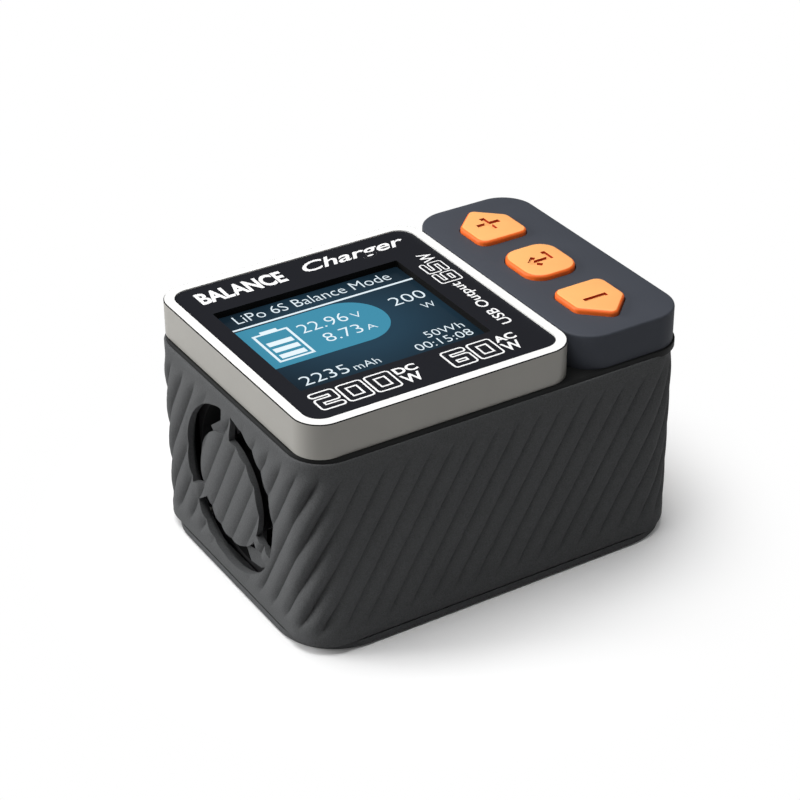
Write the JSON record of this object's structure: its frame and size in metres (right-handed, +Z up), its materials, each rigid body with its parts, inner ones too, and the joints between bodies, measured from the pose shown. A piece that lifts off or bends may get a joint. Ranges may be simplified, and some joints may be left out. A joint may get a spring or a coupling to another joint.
{
  "type": "balance battery charger",
  "caption": "Compact desktop battery charger: ribbed dark housing with a side fan, framed display and a pod with three keys.",
  "frame": {"origin": "on the ground under the middle of the charger", "axes": "+Z up, +X towards the end with the battery sockets, +Y towards the back with the mains inlet; the fan is on the -X side"},
  "size_m": [0.0978, 0.0706, 0.0581],
  "materials": {
    "shell_plastic": "fine sandy texture, ribbed",
    "cover_plastic": "smooth matt black",
    "bezel_paint": "satin light grey",
    "panel_plastic": "satin black with pale print",
    "pod_plastic": "matt dark grey",
    "key_plastic": "matt orange",
    "screen_glass": "dark glossy screen",
    "rubber": "soft matt",
    "steel": "bright",
    "brass": "bright",
    "aluminium": "plain",
    "board_green": "lacquered circuit board",
    "black_plastic": "moulded",
    "ivory_plastic": "moulded",
    "yellow_plastic": "moulded",
    "copper_wire": "enamelled wire",
    "ferrite": "matt grey-black",
    "foil_sleeve": "shrink sleeve"
  },
  "bodies": {
    "housing": {"lower_shell": "shell_plastic", "bottom_cover": "shell_plastic", "bottom_screws": "steel", "rubber_feet": "rubber", "top_cover": "cover_plastic", "cover_screws": "steel", "display_bezel": "bezel_paint", "display_panel": "panel_plastic", "screen_glass": "screen_glass", "screen_module": "black_plastic", "screen_tray": "steel", "control_board": "board_green", "control_screws": "steel", "control_chips": "black_plastic", "button_pod": "pod_plastic", "up_switch": "black_plastic", "enter_switch": "black_plastic", "down_switch": "black_plastic", "power_board": "board_green", "board_standoffs": "brass", "board_screws": "steel", "insulation_sheet": "ivory_plastic", "transformer_core": "ferrite", "transformer_winding": "yellow_plastic", "transformer_base": "black_plastic", "mains_capacitor": "foil_sleeve", "output_capacitors": "foil_sleeve", "film_capacitor": "yellow_plastic", "filter_choke": "black_plastic", "mains_fuse": "ivory_plastic", "coil_cores": "yellow_plastic", "coil_windings": "copper_wire", "charge_heat_sink": "aluminium", "supply_heat_sink": "aluminium", "power_transistors": "black_plastic", "ribbon_cable": "ivory_plastic", "ribbon_socket": "ivory_plastic", "buzzer": "black_plastic", "fan_frame": "black_plastic", "fan_bearing": "brass", "fan_stator": "copper_wire", "fan_screws": "steel", "fan_leads": "ivory_plastic", "mains_inlet": "black_plastic", "mains_pins": "steel", "input_socket": "yellow_plastic", "input_pins": "brass", "output_socket": "yellow_plastic", "output_contacts": "brass", "balance_socket": "ivory_plastic", "usb_port": "steel", "usb_board": "board_green"},
    "up_button": {"up_key": "key_plastic", "up_plunger": "ivory_plastic"},
    "enter_button": {"enter_key": "key_plastic", "enter_plunger": "ivory_plastic"},
    "down_button": {"down_key": "key_plastic", "down_plunger": "ivory_plastic"},
    "fan": {"fan_rotor": "black_plastic", "fan_shaft": "steel"}
  },
  "joints": [
    {"name": "up_press", "type": "slide", "parent": "housing", "child": "up_button", "axis": [0, 0, -1], "range_m": [0, 0.0005], "stiffness_N_per_m": 300, "springref_m": -0.0003},
    {"name": "enter_press", "type": "slide", "parent": "housing", "child": "enter_button", "axis": [0, 0, -1], "range_m": [0, 0.0005], "stiffness_N_per_m": 300, "springref_m": -0.0003},
    {"name": "down_press", "type": "slide", "parent": "housing", "child": "down_button", "axis": [0, 0, -1], "range_m": [0, 0.0005], "stiffness_N_per_m": 300, "springref_m": -0.0003},
    {"name": "fan_spin", "type": "hinge", "parent": "housing", "child": "fan", "pos_m": [-0.04, 0, 0.0248], "axis": [1, 0, 0], "continuous": true}
  ]
}
